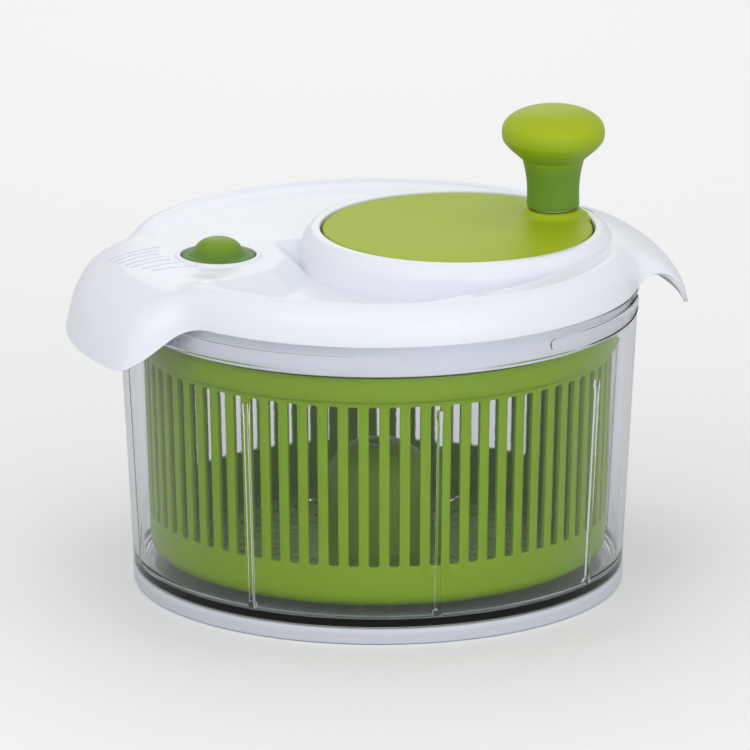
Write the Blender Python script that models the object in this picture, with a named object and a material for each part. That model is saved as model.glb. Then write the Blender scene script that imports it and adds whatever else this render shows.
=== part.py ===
"""Hand-cranked salad spinner: clear bowl, slotted basket, and a lid that holds an off-centre crank disc,
an internal gear drive and a sprung stop button. Run it in Blender 4.5. The origin is on the bowl's axis,
at the bottom of the base ring. +X runs along the two grip lugs of the lid, and +Z is up.
All the sizes below are in millimetres. The meshes are made in metres."""

from math import atan2, cos, hypot, pi, radians, sin, sqrt

import bmesh
import bpy
from mathutils import Matrix, Vector

MM = 0.001

# ---------------------------------------------------------------- clearances
SEAT_GAP = 0.3            # between pieces that touch or are pressed together
RUN_GAP = 0.4             # round a turning or sliding shaft
NOTCH_GAP = 0.5           # each side of a driving key

# ---------------------------------------------------------------- bowl and base
BOWL_RIM_RADIUS = 118.7
BOWL_FOOT_RADIUS = BOWL_RIM_RADIUS - 6.2
BOWL_HEIGHT = 141.0       # rim above the table
BOWL_WALL = 2.4
BOWL_FLOOR = 3.0
RIM_BEAD = 0.9            # how far the rim's bead stands out
RIM_BEAD_HEIGHT = 3.0
RIM_BAND_HEIGHT = 15.0    # straight band below the rim
FOOT_RIM_DEPTH = 4.8
FOOT_RIM_WALL = 3.0
RIB_COUNT = 8
RIB_WIDTH = 2.4
RIB_DEPTH = 1.8
RIB_TOP = BOWL_HEIGHT - 31.0
RING_HEIGHT = 7.2         # base ring of soft plastic
RING_OUTER_WALL = 3.4
RING_INNER_WALL = 2.6

# ---------------------------------------------------------------- pivot in the bowl
POST_BASE_RADIUS = 14.0
POST_TOP_RADIUS = 8.0
POST_HEIGHT = 44.0        # top of the post above the table
PIN_RADIUS = 2.5
PIN_LENGTH = 24.0
PIN_CHAMFER = 0.8
PIN_STANDS_OUT = 10.0

# ---------------------------------------------------------------- basket
BASKET_TOP = BOWL_HEIGHT - 17.0
BASKET_BOTTOM = 13.5
BASKET_RIM_RADIUS = BOWL_RIM_RADIUS - 8.9
BASKET_RIM_WALL = 2.8
BASKET_RIM_HEIGHT = 13.0
BASKET_WALL = 2.2
BASKET_SHOULDER_RADIUS = BASKET_RIM_RADIUS - 2.2
BASKET_WAIST_RADIUS = BASKET_RIM_RADIUS - 4.8
BASKET_CORNER = 8.0
SLOT_COUNT = 72
SLOT_WIDTH = 4.7
SLOT_BOTTOM = 34.5
FLOOR_SLOT_COUNT = 36
FLOOR_SLOT_WIDTH = 2.4
FLOOR_SLOT_INNER = 38.0
FLOOR_SLOT_OUTER = BASKET_WAIST_RADIUS - 15.0
HUB_FOOT_RADIUS = 25.0
HUB_SHOULDER_RADIUS = 20.5
HUB_CROWN_RADIUS = 12.0
HUB_TOP = 61.5
BUSH_WALL = 1.7
BUSH_LENGTH = 12.0

# ---------------------------------------------------------------- lid
LID_RADIUS = BOWL_RIM_RADIUS + 1.3
LID_WALL = 2.2
LID_SEAT = BOWL_HEIGHT + SEAT_GAP       # the lid's heights are counted from here
CREST_RADIUS = LID_RADIUS - 11.0
CREST_HEIGHT = LID_SEAT + 17.9
DECK_HEIGHT = LID_SEAT + 14.9
BOSS_RADIUS = 71.0        # raised housing round the crank disc
BOSS_HEIGHT = LID_SEAT + 21.9
WELL_FLOOR = LID_SEAT + 6.7        # floor under the crank disc
MOAT_FLOOR = LID_SEAT + 4.7        # crescent recess in front of the housing
MOAT_RADIUS = BOSS_RADIUS + 22.0
MOAT_CENTRE = (-7.0, -10.0)
MOAT_SLOPE = 5.0
MOAT_UNDER = 3.0          # how far the recess's cutter runs in under the housing
MOAT_ISLAND = ((-45.0, 20.0, 1.0), (-46.0, -6.0, 0.0), (-59.0, -34.0, 0.0))
MOAT_START = 214.0        # degrees about the recess's own centre
MOAT_END = 159.0          # degrees about the crank's axis
SKIRT_WALL = 2.4
SKIRT_BOTTOM = LID_SEAT - 15.3
SKIRT_GAP = 1.5           # skirt to the inside of the bowl's rim
LUG_REACH = LID_RADIUS + 22.5   # outer radius of both grip lugs
LUG_ROOT_RADIUS = LID_RADIUS - 8.0
LUG_WALL = 2.6
LUG_SLOPES = (8.0, 86.0)  # degrees down at the root and at the tip
LUG_LET_DOWN = 1.5        # how far the lug's curve is lowered above its tip
LUG_CORNER = 6.0          # how far the tip's corners draw in
LUG_FLARE = 11.0          # how much wider each side is at the rim
LEFT_LUG_TIP = LID_SEAT - 22.3  # the larger lug, by the stop button
LEFT_LUG_HALF_WIDTH = 58.0
RIGHT_LUG_TIP = LID_SEAT - 13.3
RIGHT_LUG_HALF_WIDTH = 38.0

# ---------------------------------------------------------------- gear drive
GEAR_MODULE = 2.5
RING_TEETH = 42
PINION_TEETH = 12
GEAR_HEIGHT = 5.5
TOOTH_ADDENDUM = 0.8      # in modules
TOOTH_DEDENDUM = 1.05     # in modules
TOOTH_BACKLASH = 0.9      # at the pitch circle
TOOTH_ROOT_WIDTH = 1.3    # of the width at the pitch circle
TOOTH_TIP_WIDTH = 0.52    # of the width at the pitch circle
CRANK_OFFSET = GEAR_MODULE * (RING_TEETH - PINION_TEETH) / 2

# ---------------------------------------------------------------- crank disc and knob
DISC_RADIUS = 61.9
DISC_GAP = 0.9            # to the housing all round
DISC_TOP = LID_SEAT + 21.4
DISC_PLATE = 2.4
DISC_SKIRT = 1.9
AXLE_RADIUS = 3.0
AXLE_HUB_RADIUS = 7.0
FLANGE_RADIUS = 8.0
FLANGE_THICKNESS = 1.6
CLIP_RADIUS = 5.8
CLIP_THICKNESS = 1.0
KNOB_THROW = 49.0         # crank radius
KNOB_ANGLE = 12.0         # degrees from +X at rest
KNOB_RADIUS = 23.6
KNOB_NECK_RADIUS = 12.0
KNOB_TOP = DISC_TOP + 51.3
COLLAR_RADIUS = 12.6
COLLAR_HEIGHT = 3.2
SPINDLE_RADIUS = 3.5
SPINDLE_HEAD = 5.2
KNOB_BUSH_WALL = 2.2
KNOB_BUSH_LENGTH = 30.0
WASHER_THICKNESS = 0.6

# ---------------------------------------------------------------- basket driver
SHAFT_RADIUS = 3.2
DRIVER_TOP = LID_SEAT - 10.3
DRIVER_PLATE = 2.5
DRIVER_GAP = 3.0          # to the inside of the basket's rim
DRIVER_SKIRT = 2.0
DRIVER_SKIRT_HEIGHT = 12.0
DRIVER_HUB_RADIUS = 9.0
DRIVER_HUB_HEIGHT = 11.0
VENT_COUNT = 12
VENT_RADIUS = 7.0
VENT_CIRCLE = 42.0
KEY_COUNT = 3
KEY_WIDTH = 8.0
KEY_HEIGHT = 5.5
NOTCH_WALL = 1.2          # rim wall left behind a notch
DRIVE_SCREW_HEAD = 5.0

# ---------------------------------------------------------------- inner cover and its screws
COVER_BOTTOM = LID_SEAT - 4.5
COVER_PLATE = 2.0
COVER_GAP = 1.9           # to the inside of the lid's skirt
COVER_HOLE_GAP = 3.0      # round the driver's hub
COVER_LIP = 2.0
DECK_SCREWS = ((49.0, 85.0), (-49.0, 85.0))
MOAT_SCREWS = ((-28.0, -82.0), (28.0, -82.0))
SCREW_POST_RADIUS = 4.5
SCREW_RADIUS = 1.6
SCREW_HEAD_RADIUS = 3.6
SCREW_HEAD = 2.0
SCREW_BITE = 3.3

# ---------------------------------------------------------------- stop button and brake
BUTTON_X = -75.0
BUTTON_HOLE_RADIUS = 17.5
BUTTON_GAP = 0.9
BUTTON_FLANGE = 2.2
BUTTON_FLANGE_TOP = LID_SEAT + 13.5
BUTTON_DOME_RADIUS = 13.2
BUTTON_TOP = LID_SEAT + 23.7
BUTTON_WALL = 2.2
BUTTON_TRAVEL = 3.0
CUP_FLOOR = LID_SEAT + 4.5
STEM_RADIUS = 3.0
STEM_COLLAR_RADIUS = 5.5
STEM_COLLAR = 2.0
PAD_HOLDER_RADIUS = 8.5
PAD_HOLDER = 2.0
PAD_RADIUS = 8.0
PAD_HOLE_GAP = 1.1
PAD_THICKNESS = 2.0
SPRING_RADIUS = 8.0
SPRING_WIRE = 0.6
SPRING_TURNS = 5

# ---------------------------------------------------------------- how finely round pieces are cut
FINE = 48
MEDIUM = 32
SMALL = 20
TINY = 12
LUG_ROWS = 9
LUG_COLUMNS = 12

# ---------------------------------------------------------------- sizes that follow from the others
bowlUnderside = RING_HEIGHT + SEAT_GAP
bowlFloorTop = bowlUnderside + BOWL_FLOOR
bandBottom = BOWL_HEIGHT - RIM_BAND_HEIGHT
bowlInnerRim = BOWL_RIM_RADIUS - BOWL_WALL
pinTop = POST_HEIGHT + PIN_STANDS_OUT
bushRadius = PIN_RADIUS + RUN_GAP + BUSH_WALL
bushTop = pinTop + SEAT_GAP + BUSH_LENGTH - PIN_STANDS_OUT + 1.2
bushBottom = bushTop - BUSH_LENGTH
slotTop = BASKET_TOP - BASKET_RIM_HEIGHT
basketInnerRim = BASKET_RIM_RADIUS - BASKET_RIM_WALL
basketFloorTop = BASKET_BOTTOM + BASKET_WALL
cornerHeight = BASKET_BOTTOM + BASKET_CORNER
cornerSlope = (BASKET_SHOULDER_RADIUS - BASKET_WAIST_RADIUS) / (slotTop - SLOT_BOTTOM)
cornerRadius = BASKET_WAIST_RADIUS + cornerSlope * (cornerHeight - SLOT_BOTTOM)
floorEdge = cornerRadius - BASKET_CORNER
crankCentre = (CRANK_OFFSET, 0.0)
wellRadius = DISC_RADIUS + DISC_GAP
flangeTop = WELL_FLOOR + SEAT_GAP + FLANGE_THICKNESS
plateUnderside = DISC_TOP - DISC_PLATE
pinionBottom = flangeTop + SEAT_GAP
gearBottom = pinionBottom + 1.0
gearTop = gearBottom + GEAR_HEIGHT
pinionTop = gearTop - SEAT_GAP
bushLowerEnd = WELL_FLOOR - LID_WALL - 2.4
knobX = CRANK_OFFSET + KNOB_THROW * cos(radians(KNOB_ANGLE))
knobY = KNOB_THROW * sin(radians(KNOB_ANGLE))
collarTop = DISC_TOP + COLLAR_HEIGHT
washerTop = collarTop + SEAT_GAP + WASHER_THICKNESS
knobBottom = washerTop + SEAT_GAP
knobBushRadius = SPINDLE_RADIUS + RUN_GAP + KNOB_BUSH_WALL
driverRadius = basketInnerRim - DRIVER_GAP
driverBottom = DRIVER_TOP - DRIVER_SKIRT_HEIGHT
driverHubBottom = DRIVER_TOP - DRIVER_PLATE - 3.0
driverHubTop = driverHubBottom + DRIVER_HUB_HEIGHT
keyTip = BASKET_RIM_RADIUS - NOTCH_WALL - RUN_GAP
keyBottom = driverBottom - 1.0
notchBottom = keyBottom - NOTCH_GAP
coverTop = COVER_BOTTOM + COVER_PLATE
skirtRadius = bowlInnerRim - SKIRT_GAP
coverRadius = skirtRadius - SKIRT_WALL - COVER_GAP
postBottom = coverTop + SEAT_GAP
padBottom = DRIVER_TOP + BUTTON_TRAVEL + SEAT_GAP
holderBottom = padBottom + PAD_THICKNESS + SEAT_GAP
collarOnStemTop = CUP_FLOOR - LID_WALL - SEAT_GAP
buttonCeiling = BUTTON_TOP - BUTTON_WALL - 2.8
buttonFlangeBottom = BUTTON_FLANGE_TOP - BUTTON_FLANGE


# ================================================================ modelling tools

def clear_scene():
    for item in list(bpy.data.objects):
        bpy.data.objects.remove(item, do_unlink=True)


def make_material(name, colour, roughness, metallic=0.0, alpha=1.0):
    material = bpy.data.materials.new(name)
    material.use_nodes = True
    shader = material.node_tree.nodes["Principled BSDF"]
    shader.inputs["Base Color"].default_value = (*colour, 1.0)
    shader.inputs["Roughness"].default_value = roughness
    shader.inputs["Metallic"].default_value = metallic
    shader.inputs["Alpha"].default_value = alpha
    return material


def add_turned(bm, profile, segments, centre=(0.0, 0.0)):
    """Turn a closed (radius, height) outline about a vertical axis. A point at radius 0 is one vertex."""
    rings = []
    for radius, height in profile:
        if radius == 0.0:
            rings.append([bm.verts.new((centre[0], centre[1], height))])
            continue
        angles = [2 * pi * (step + 0.5) / segments for step in range(segments)]
        rings.append([bm.verts.new((centre[0] + radius * cos(a), centre[1] + radius * sin(a), height))
                      for a in angles])
    for lower, upper in zip(rings, rings[1:] + rings[:1]):
        if len(lower) == 1 and len(upper) == 1:
            continue
        for step in range(segments):
            after = (step + 1) % segments
            corners = [lower[step % len(lower)], lower[after % len(lower)],
                       upper[after % len(upper)], upper[step % len(upper)]]
            bm.faces.new(list(dict.fromkeys(corners)))


def add_prism(bm, outline, bottom, top, top_outline=None):
    """Stand a closed (x, y) outline up between two heights. A second outline tapers it."""
    below = [bm.verts.new((x, y, bottom)) for x, y in outline]
    above = [bm.verts.new((x, y, top)) for x, y in top_outline or outline]
    bm.faces.new(below[::-1])
    bm.faces.new(above)
    for step in range(len(outline)):
        after = (step + 1) % len(outline)
        bm.faces.new((below[step], below[after], above[after], above[step]))


def add_box(bm, low, high, turn=0.0):
    """A box between two corners, then turned about the Z axis by some degrees."""
    spin = Matrix.Rotation(radians(turn), 3, "Z")
    corners = [(low[0], low[1]), (high[0], low[1]), (high[0], high[1]), (low[0], high[1])]
    turned = [tuple((spin @ Vector((x, y, 0.0)))[:2]) for x, y in corners]
    add_prism(bm, turned, low[2], high[2])


def circle(radius, segments, centre=(0.0, 0.0)):
    angles = [2 * pi * (step + 0.5) / segments for step in range(segments)]
    return [(centre[0] + radius * cos(a), centre[1] + radius * sin(a)) for a in angles]


def place(name, bm, origin=(0.0, 0.0, 0.0)):
    """Turn millimetre geometry into an object whose origin is at the given point."""
    bmesh.ops.recalc_face_normals(bm, faces=bm.faces)
    bmesh.ops.translate(bm, verts=bm.verts, vec=-Vector(origin))
    bmesh.ops.scale(bm, verts=bm.verts, vec=(MM, MM, MM))
    mesh = bpy.data.meshes.new(name)
    bm.to_mesh(mesh)
    bm.free()
    item = bpy.data.objects.new(name, mesh)
    item.location = Vector(origin) * MM
    bpy.context.scene.collection.objects.link(item)
    return item


def finish(item, material, sharp=32.0):
    item.data.materials.append(material)
    item.data.shade_smooth()
    item.data.set_sharp_from_angle(angle=radians(sharp))
    return item


def cut(item, tool, operation="DIFFERENCE", solver="EXACT"):
    """Cut with a tool, or join one on. The tool stays in the scene as a hidden guide."""
    tool.hide_render = True
    tool.display_type = "WIRE"
    modifier = item.modifiers.new(tool.name, "BOOLEAN")
    modifier.operation = operation
    modifier.solver = solver
    modifier.object = tool
    return item


def turned_object(name, profile, segments, centre=(0.0, 0.0)):
    bm = bmesh.new()
    add_turned(bm, profile, segments, centre)
    return place(name, bm, (centre[0], centre[1], 0.0))


def tube_profile(inner, outer, bottom, top):
    return [(inner, bottom), (outer, bottom), (outer, top), (inner, top)]


def stepped_profile(steps):
    """Outline of a solid turned piece from (radius, bottom, top) steps, listed upwards."""
    outline = [(0.0, steps[0][1])]
    for radius, bottom, top in steps:
        outline += [(radius, bottom), (radius, top)]
    outline.append((0.0, steps[-1][2]))
    return outline


# ================================================================ bowl and base

def bowl_inner_radius(height):
    """Inside radius of the bowl's tapered wall at a height."""
    share = (height - bowlUnderside) / (bandBottom - bowlUnderside)
    return BOWL_FOOT_RADIUS - BOWL_WALL + (BOWL_RIM_RADIUS - BOWL_FOOT_RADIUS) * min(share, 1.0)


def make_bowl(material):
    foot_outer = BOWL_FOOT_RADIUS - RING_OUTER_WALL - SEAT_GAP
    foot_inner = foot_outer - FOOT_RIM_WALL
    bead = BOWL_RIM_RADIUS + RIM_BEAD
    floor_edge = bowl_inner_radius(bowlFloorTop + 3.0)
    bore = PIN_RADIUS + SEAT_GAP
    bore_bottom = pinTop - PIN_LENGTH - SEAT_GAP
    profile = [
        (0.0, bowlUnderside), (foot_inner, bowlUnderside), (foot_inner, bowlUnderside - FOOT_RIM_DEPTH),
        (foot_outer, bowlUnderside - FOOT_RIM_DEPTH), (foot_outer, bowlUnderside),
        (BOWL_FOOT_RADIUS, bowlUnderside), (BOWL_RIM_RADIUS, bandBottom),
        (BOWL_RIM_RADIUS, BOWL_HEIGHT - RIM_BEAD_HEIGHT), (bead, BOWL_HEIGHT - RIM_BEAD_HEIGHT + 1.0),
        (bead, BOWL_HEIGHT), (bowlInnerRim, BOWL_HEIGHT), (bowlInnerRim, bandBottom),
        (floor_edge, bowlFloorTop + 3.0), (floor_edge - 3.0, bowlFloorTop),
        (POST_BASE_RADIUS, bowlFloorTop), (POST_TOP_RADIUS, POST_HEIGHT), (bore, POST_HEIGHT),
        (bore, bore_bottom), (0.0, bore_bottom)]
    bowl = turned_object("outer_bowl", profile, FINE)
    bm = bmesh.new()
    low, high = bowlFloorTop - 1.0, RIB_TOP
    root = 1.0
    for index in range(RIB_COUNT):
        spin = Matrix.Rotation(2 * pi * index / RIB_COUNT, 3, "Z")
        outline = [(bowl_inner_radius(low) - RIB_DEPTH, low), (bowl_inner_radius(low) + root, low),
                   (bowl_inner_radius(high) + root, high), (bowl_inner_radius(high) - RIB_DEPTH, high)]
        sides = [[bm.verts.new(spin @ Vector((radius, side * RIB_WIDTH / 2, height)))
                  for radius, height in outline] for side in (-1, 1)]
        bm.faces.new(sides[0])
        bm.faces.new(sides[1][::-1])
        for step in range(4):
            after = (step + 1) % 4
            bm.faces.new((sides[0][step], sides[1][step], sides[1][after], sides[0][after]))
    cut(bowl, place("bowl_ribs", bm), "UNION")
    return finish(bowl, material)


def make_base_ring(material):
    outer = BOWL_FOOT_RADIUS + SEAT_GAP
    groove_outer = BOWL_FOOT_RADIUS - RING_OUTER_WALL
    groove_inner = groove_outer - FOOT_RIM_WALL - 2 * SEAT_GAP
    inner = groove_inner - RING_INNER_WALL
    groove_floor = bowlUnderside - FOOT_RIM_DEPTH - SEAT_GAP
    profile = [(inner, 0.0), (outer - 0.8, 0.0), (outer, 0.8), (outer, RING_HEIGHT),
               (groove_outer, RING_HEIGHT), (groove_outer, groove_floor), (groove_inner, groove_floor),
               (groove_inner, RING_HEIGHT), (inner, RING_HEIGHT)]
    return finish(turned_object("base_ring", profile, FINE), material)


def make_pivot_pin(material):
    outline = [(0.0, pinTop - PIN_LENGTH), (PIN_RADIUS, pinTop - PIN_LENGTH),
               (PIN_RADIUS, pinTop - PIN_CHAMFER), (PIN_RADIUS - PIN_CHAMFER, pinTop), (0.0, pinTop)]
    return finish(turned_object("pivot_pin", outline, TINY), material)


# ================================================================ basket

def make_basket_wall(material):
    """The basket's side with its rim, down to the bend. Wall, bend and floor are one moulding."""
    foot = cornerHeight + SEAT_GAP
    outline = [(cornerRadius, foot), (BASKET_SHOULDER_RADIUS, slotTop),
               (BASKET_RIM_RADIUS, slotTop + 1.2), (BASKET_RIM_RADIUS, BASKET_TOP),
               (basketInnerRim, BASKET_TOP), (basketInnerRim, slotTop + 1.2),
               (BASKET_SHOULDER_RADIUS - BASKET_WALL, slotTop - 0.5), (cornerRadius - BASKET_WALL, foot)]
    wall = turned_object("basket_wall", outline, SLOT_COUNT)
    bm = bmesh.new()
    for index in range(SLOT_COUNT):
        add_box(bm, (BASKET_WAIST_RADIUS - 6.0, -SLOT_WIDTH / 2, SLOT_BOTTOM),
                (BASKET_RIM_RADIUS + 1.0, SLOT_WIDTH / 2, slotTop - 1.0), 360.0 * index / SLOT_COUNT)
    cut(wall, place("wall_slots", bm))
    bm = bmesh.new()
    half = KEY_WIDTH / 2 + NOTCH_GAP
    for index in range(KEY_COUNT):
        add_box(bm, (basketInnerRim - 2.0, -half, notchBottom),
                (BASKET_RIM_RADIUS - NOTCH_WALL, half, BASKET_TOP + 1.0), 360.0 * index / KEY_COUNT)
    cut(wall, place("rim_notches", bm))
    return finish(wall, material)


def make_basket_bend(material):
    """The ring that bends from the basket's wall into its floor."""
    bend = BASKET_CORNER * (1 - sin(pi / 4))
    inner_bend = bend + BASKET_WALL * 0.7
    outline = [(floorEdge, BASKET_BOTTOM), (cornerRadius - bend, BASKET_BOTTOM + bend),
               (cornerRadius, cornerHeight), (cornerRadius - BASKET_WALL, cornerHeight),
               (cornerRadius - inner_bend, BASKET_BOTTOM + inner_bend), (floorEdge, basketFloorTop)]
    return finish(turned_object("basket_bend", outline, SLOT_COUNT), material)


def make_basket_floor(material):
    """The basket's flat floor and its hub."""
    bore = bushRadius + SEAT_GAP
    crown = HUB_TOP - 0.8
    socket_bottom = bushBottom - 0.5
    outline = [(HUB_FOOT_RADIUS - BASKET_WALL, BASKET_BOTTOM), (floorEdge - SEAT_GAP, BASKET_BOTTOM),
               (floorEdge - SEAT_GAP, basketFloorTop), (HUB_FOOT_RADIUS, basketFloorTop),
               (HUB_SHOULDER_RADIUS, HUB_TOP - 10.0), (HUB_SHOULDER_RADIUS - 3.0, HUB_TOP - 4.5),
               (HUB_CROWN_RADIUS, crown), (0.0, HUB_TOP), (0.0, bushTop + SEAT_GAP),
               (bore, bushTop + SEAT_GAP), (bore, socket_bottom), (bore + BASKET_WALL, socket_bottom),
               (bore + BASKET_WALL, crown - BASKET_WALL), (HUB_CROWN_RADIUS, crown - BASKET_WALL),
               (HUB_SHOULDER_RADIUS - BASKET_WALL, HUB_TOP - 10.0)]
    floor = turned_object("basket_floor", outline, SLOT_COUNT)
    bm = bmesh.new()
    for index in range(FLOOR_SLOT_COUNT):
        add_box(bm, (FLOOR_SLOT_INNER, -FLOOR_SLOT_WIDTH / 2, BASKET_BOTTOM - 1.0),
                (FLOOR_SLOT_OUTER, FLOOR_SLOT_WIDTH / 2, basketFloorTop + 1.0),
                360.0 * index / FLOOR_SLOT_COUNT)
    cut(floor, place("floor_slots", bm))
    return finish(floor, material)


def make_basket_bush(material):
    bore = PIN_RADIUS + RUN_GAP
    outline = [(0.0, pinTop + SEAT_GAP), (bore, pinTop + SEAT_GAP), (bore, bushBottom),
               (bushRadius, bushBottom), (bushRadius, bushTop), (0.0, bushTop)]
    return finish(turned_object("basket_bush", outline, TINY), material)


# ================================================================ lid

def circles_meet(first, first_radius, second, second_radius):
    """Where two circles in the XY plane cross, on the side of lower y."""
    apart = hypot(second[0] - first[0], second[1] - first[1])
    along = (apart ** 2 + first_radius ** 2 - second_radius ** 2) / (2 * apart)
    across = sqrt(first_radius ** 2 - along ** 2)
    ux, uy = (second[0] - first[0]) / apart, (second[1] - first[1]) / apart
    return first[0] + along * ux + across * uy, first[1] + along * uy - across * ux


def arc_between(centre, radius, start, stop, count):
    return [(centre[0] + radius * cos(start + (stop - start) * step / count),
             centre[1] + radius * sin(start + (stop - start) * step / count)) for step in range(count + 1)]


def moat_outline(spread):
    """Plan of the crescent recess, spread outwards from its floor. It runs in under the housing."""
    outer = MOAT_RADIUS - MOAT_SLOPE + spread
    inner = BOSS_RADIUS - MOAT_UNDER
    tip = circles_meet(MOAT_CENTRE, outer, crankCentre, inner)
    island = [(x - spread, y + lift * spread) for x, y, lift in MOAT_ISLAND]
    turn = atan2(tip[1] - MOAT_CENTRE[1], tip[0] - MOAT_CENTRE[0]) + 2 * pi
    front = arc_between(MOAT_CENTRE, outer, radians(MOAT_START), turn, 16)
    around = atan2(tip[1], tip[0] - CRANK_OFFSET)
    back = arc_between(crankCentre, inner, around, radians(MOAT_END) - 2 * pi, 12)
    return island + front + back[1:]


def moat_tool(name, wall):
    """Cutter for the recess. A wall makes it larger, for the inside of the lid."""
    bm = bmesh.new()
    floor = moat_outline(wall)
    edge = moat_outline(wall + MOAT_SLOPE)
    above = CREST_HEIGHT + 12.0
    low = [bm.verts.new((x, y, MOAT_FLOOR - wall)) for x, y in floor]
    middle = [bm.verts.new((x, y, CREST_HEIGHT - wall)) for x, y in edge]
    high = [bm.verts.new((x, y, above)) for x, y in edge]
    bm.faces.new(low[::-1])
    bm.faces.new(high)
    for lower, upper in ((low, middle), (middle, high)):
        for step in range(len(lower)):
            after = (step + 1) % len(lower)
            bm.faces.new((lower[step], lower[after], upper[after], upper[step]))
    return place(name, bm)


def lid_volume(name, wall, bottom):
    """The lid's outer form as one solid, set in by a wall for the hollow inside it."""
    # the lid's cuts use the manifold solver: the exact one leaves a few open edges here
    radius = LID_RADIUS - wall
    dome = [(0.0, bottom), (radius, bottom), (radius, LID_SEAT + 6.0),
            (radius - 1.5, CREST_HEIGHT - 7.2 - wall), (radius - 4.5, CREST_HEIGHT - 2.6 - wall),
            (CREST_RADIUS, CREST_HEIGHT - wall),
            (CREST_RADIUS - 8.0, CREST_HEIGHT - 1.4 - wall), (CREST_RADIUS - 16.0, DECK_HEIGHT - wall),
            (0.0, DECK_HEIGHT - wall)]
    volume = turned_object(name, dome, FINE)
    cut(volume, moat_tool(name + "_moat", wall), solver="MANIFOLD")
    top = BOSS_HEIGHT - wall
    housing = [(0.0, MOAT_FLOOR - wall - 2.0), (BOSS_RADIUS + 1.0 - wall, MOAT_FLOOR - wall - 2.0),
               (BOSS_RADIUS - wall, top - 4.0), (BOSS_RADIUS - wall - 1.6, top - 1.0),
               (BOSS_RADIUS - wall - 4.5, top), (0.0, top)]
    cut(volume, turned_object(name + "_housing", housing, FINE, crankCentre), "UNION",
        "MANIFOLD")
    return volume


def lug_sheet(name, side, tip, half_width):
    """One drooping grip lug: a bent sheet that grows out of the rim, down to its tip's height."""
    drop = CREST_HEIGHT - tip
    reach = LUG_REACH - LUG_ROOT_RADIUS
    count = LUG_ROWS
    rows = []
    for step in range(count + 1):
        bend = radians(LUG_SLOPES[0] + (LUG_SLOPES[1] - LUG_SLOPES[0]) * step / count)
        radius = LUG_ROOT_RADIUS + reach * sin(bend)
        height = tip - LUG_LET_DOWN + drop * sqrt(cos(bend)) if step < count else tip
        half = half_width + LUG_FLARE * max(0.0, 1.0 - step / 4.0)
        half -= LUG_CORNER * max(0.0, step - count + 2.0) ** 2 / 4.0
        rows.append((radius, height, half, bend))
    bm = bmesh.new()
    across = LUG_COLUMNS
    sheets = []
    for wall in (0.0, LUG_WALL):
        grid = []
        for radius, height, half, bend in rows:
            r = radius - wall * sin(bend)
            z = height - wall * cos(bend)
            spread = min(half / radius, 1.0)
            line = []
            for column in range(across + 1):
                angle = spread * (2.0 * column / across - 1.0)
                line.append(bm.verts.new((side * r * cos(angle), r * sin(angle), z)))
            grid.append(line)
        sheets.append(grid)
    top, under = sheets
    for step in range(count):
        for column in range(across):
            bm.faces.new((top[step][column], top[step][column + 1],
                          top[step + 1][column + 1], top[step + 1][column]))
            bm.faces.new((under[step][column], under[step + 1][column],
                          under[step + 1][column + 1], under[step][column + 1]))
    edge = [(s, 0) for s in range(count)] + [(count, c) for c in range(across)]
    edge += [(s, across) for s in range(count, 0, -1)] + [(0, c) for c in range(across, 0, -1)]
    for here, after in zip(edge, edge[1:] + edge[:1]):
        bm.faces.new((top[here[0]][here[1]], top[after[0]][after[1]],
                      under[after[0]][after[1]], under[here[0]][here[1]]))
    return place(name, bm)


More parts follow.
